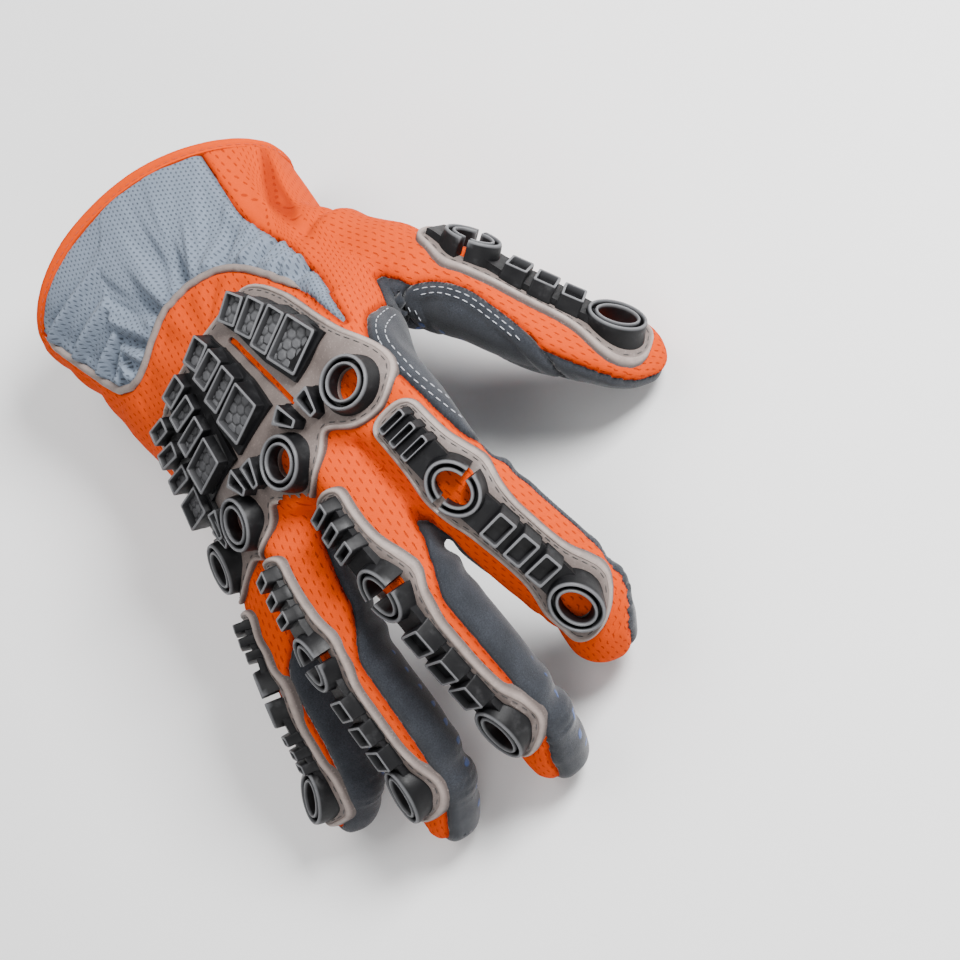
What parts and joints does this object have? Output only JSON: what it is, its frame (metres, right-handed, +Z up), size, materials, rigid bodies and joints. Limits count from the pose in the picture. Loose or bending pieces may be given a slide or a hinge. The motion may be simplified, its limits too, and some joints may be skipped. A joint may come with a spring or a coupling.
{
  "type": "impact safety glove",
  "caption": "Right-hand work glove with a knit back, suede palm, gathered mesh cuff panel and black rubber impact guards over the knuckles and the backs of the digits, resting palm down",
  "frame": {"origin": "on the floor under the middle of the glove's bounding box", "axes": "+Y from the cuff to the fingertips, +X towards the little finger, +Z up from the palm to the back of the hand"},
  "size_m": [0.1608, 0.2092, 0.0846],
  "materials": {
    "orange_knit": "bright orange knit, matt",
    "grey_suede": "dark grey synthetic suede with small blue dots",
    "blue_grey_mesh": "blue-grey open mesh over an elastic",
    "taupe_trim": "taupe covered cord",
    "taupe_rubber": "soft taupe moulded rubber, matt",
    "black_rubber": "black moulded rubber with a soft sheen"
  },
  "bodies": {
    "root": {"back_panel": "orange_knit", "palm_panel": "grey_suede", "cuff_panel": "blue_grey_mesh", "thumb_crotch_patch": "grey_suede", "cuff_hem": "orange_knit", "piping": "taupe_trim", "pull_tab": "taupe_rubber", "knuckle_base": "taupe_rubber", "knuckle_guard": "black_rubber", "index_base": "taupe_rubber", "middle_base": "taupe_rubber", "ring_base": "taupe_rubber", "little_base": "taupe_rubber", "thumb_base": "taupe_rubber", "index_guard": "black_rubber", "middle_guard": "black_rubber", "ring_guard": "black_rubber", "little_guard": "black_rubber", "thumb_guard": "black_rubber"}
  },
  "joints": []
}
